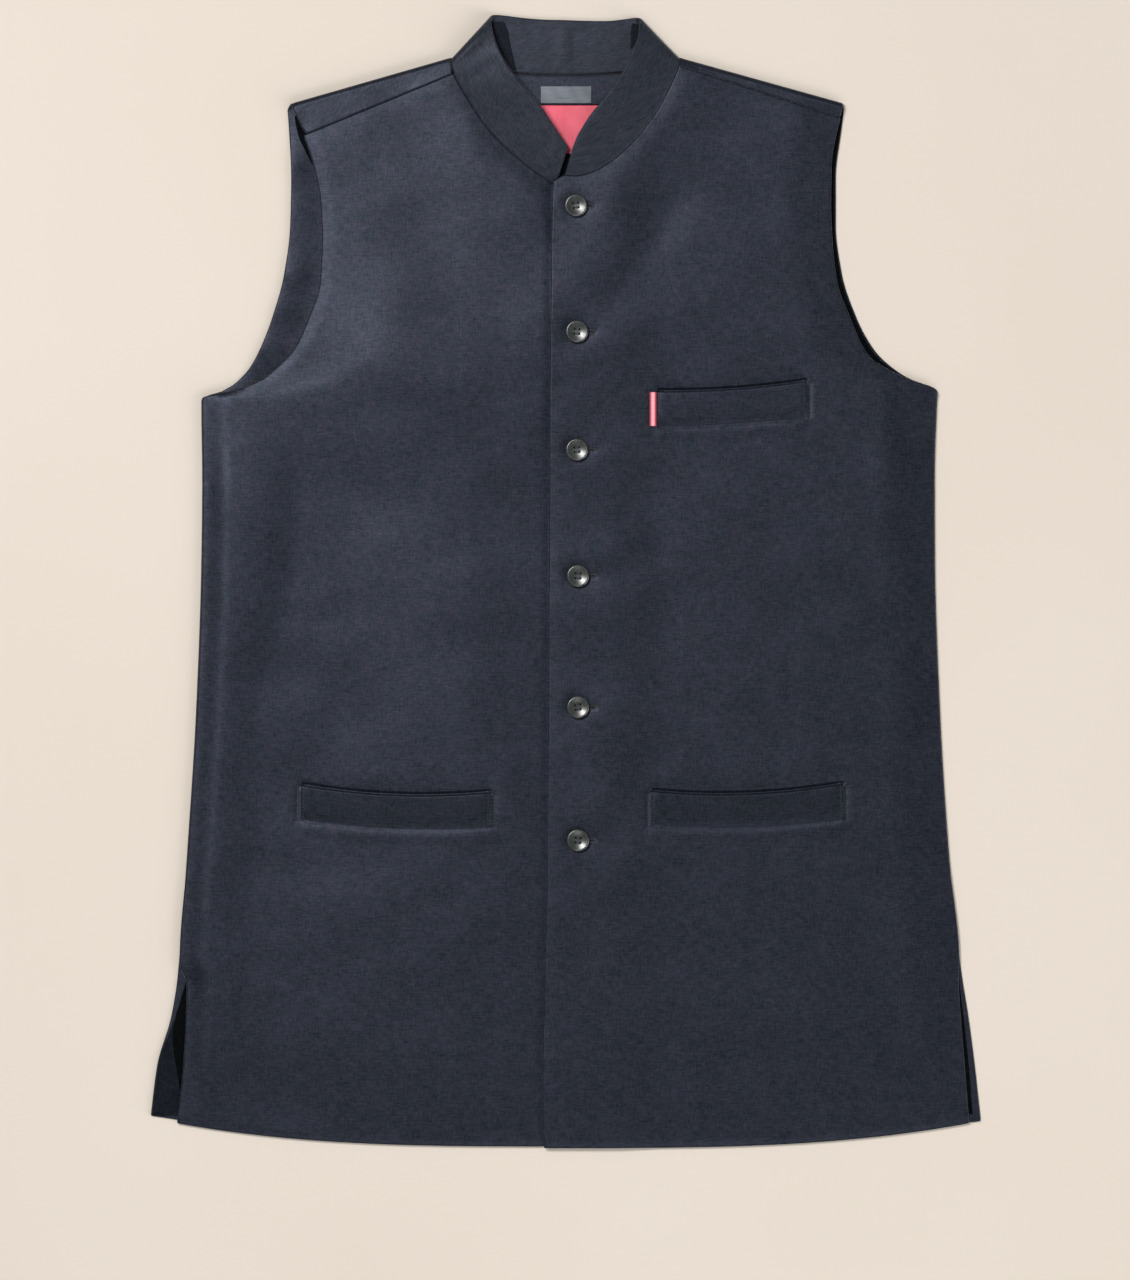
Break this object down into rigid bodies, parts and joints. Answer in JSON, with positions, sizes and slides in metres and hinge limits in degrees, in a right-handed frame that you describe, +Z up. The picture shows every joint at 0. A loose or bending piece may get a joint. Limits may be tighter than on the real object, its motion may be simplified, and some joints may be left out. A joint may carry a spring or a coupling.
{
  "type": "mandarin collar waistcoat",
  "caption": "Sleeveless buttoned waistcoat with a stand collar, welt pockets and side vents, laid flat on its back.",
  "frame": {"origin": "on the surface it lies on, under the middle of its outline", "axes": "+Z up from the surface, +Y towards the collar, +X towards the wearer's left"},
  "size_m": [0.5818, 0.7941, 0.0175],
  "materials": {
    "cloth": "matte slubby plain weave",
    "lining": "satin",
    "label": "smooth woven",
    "tab": "smooth woven",
    "button": "semi-gloss"
  },
  "bodies": {
    "root": {"back": "cloth", "front_right": "cloth", "front_left": "cloth", "collar": "cloth", "neck_facing": "cloth", "back_lining": "lining", "neck_label": "label", "welt_hip_right": "cloth", "welt_hip_left": "cloth", "welt_chest": "cloth", "chest_tab": "tab", "button_1": "button", "button_2": "button", "button_3": "button", "button_4": "button", "button_5": "button", "button_6": "button"}
  },
  "joints": []
}
